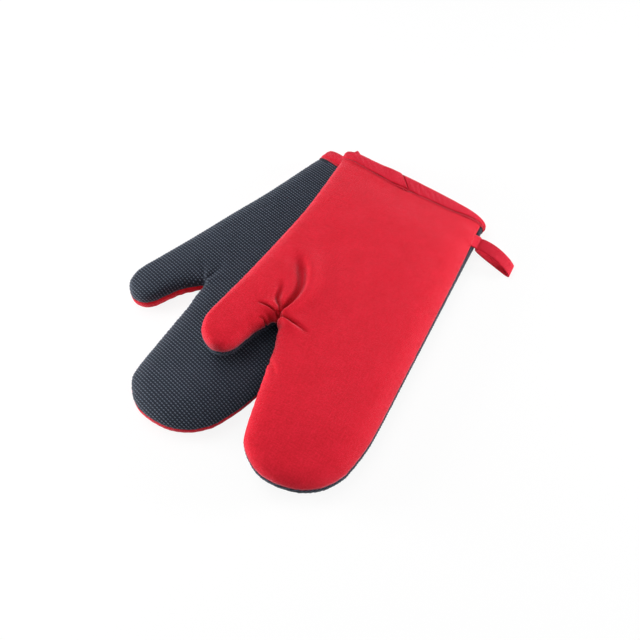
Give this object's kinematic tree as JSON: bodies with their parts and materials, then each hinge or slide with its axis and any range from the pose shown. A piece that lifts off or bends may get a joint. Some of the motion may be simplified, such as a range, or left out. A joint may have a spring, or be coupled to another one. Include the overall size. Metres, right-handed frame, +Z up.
{
  "type": "pair of oven gloves",
  "caption": "Padded oven gloves with a thumb each, red cotton backs, charcoal palms, bound cuffs and tape hanging loops, one glove lying across the other.",
  "frame": {"origin": "middle of the pair's outline, on the surface it lies on", "axes": "+Z up from that surface; the cuffs lie towards +Y and the fingertips towards -Y"},
  "size_m": [0.3452, 0.3538, 0.049],
  "materials": {
    "red_cotton": "closely woven cotton, matt",
    "charcoal_neoprene": "knit-faced neoprene with raised dashes, dull",
    "white_wadding": "soft fibre wadding",
    "grey_lining": "brushed cotton lining, matt",
    "red_tape": "folded cotton tape, matt",
    "red_thread": "sewing thread, slight sheen"
  },
  "bodies": {
    "right_glove": {"right_back_panel": "red_cotton", "right_back_wadding": "white_wadding", "right_back_lining": "grey_lining", "right_palm_panel": "charcoal_neoprene", "right_palm_wadding": "white_wadding", "right_palm_lining": "grey_lining", "right_cuff_binding": "red_tape", "right_loop_anchor": "red_tape", "right_seam_thread": "red_thread"},
    "left_glove": {"left_back_panel": "red_cotton", "left_back_wadding": "white_wadding", "left_back_lining": "grey_lining", "left_palm_panel": "charcoal_neoprene", "left_palm_wadding": "white_wadding", "left_palm_lining": "grey_lining", "left_cuff_binding": "red_tape", "left_loop_anchor": "red_tape", "left_seam_thread": "red_thread"},
    "right_loop": {"right_hanging_loop": "red_tape"},
    "left_loop": {"left_hanging_loop": "red_tape"}
  },
  "joints": [
    {"name": "left_glove_lift", "type": "slide", "parent": "right_glove", "child": "left_glove", "axis": [0, 0, 1], "range_m": [0, 0.15]},
    {"name": "left_loop_swing", "type": "hinge", "parent": "left_glove", "child": "left_loop", "pos_m": [0.1391, 0.0649, 0.0066], "axis": [-0.4524, -0.8918, 0], "range_deg": [0, 65]},
    {"name": "right_loop_swing", "type": "hinge", "parent": "right_glove", "child": "right_loop", "pos_m": [0.0941, 0.0626, 0.0041], "axis": [-0.7284, -0.6851, 0], "range_deg": [0, 3]}
  ]
}
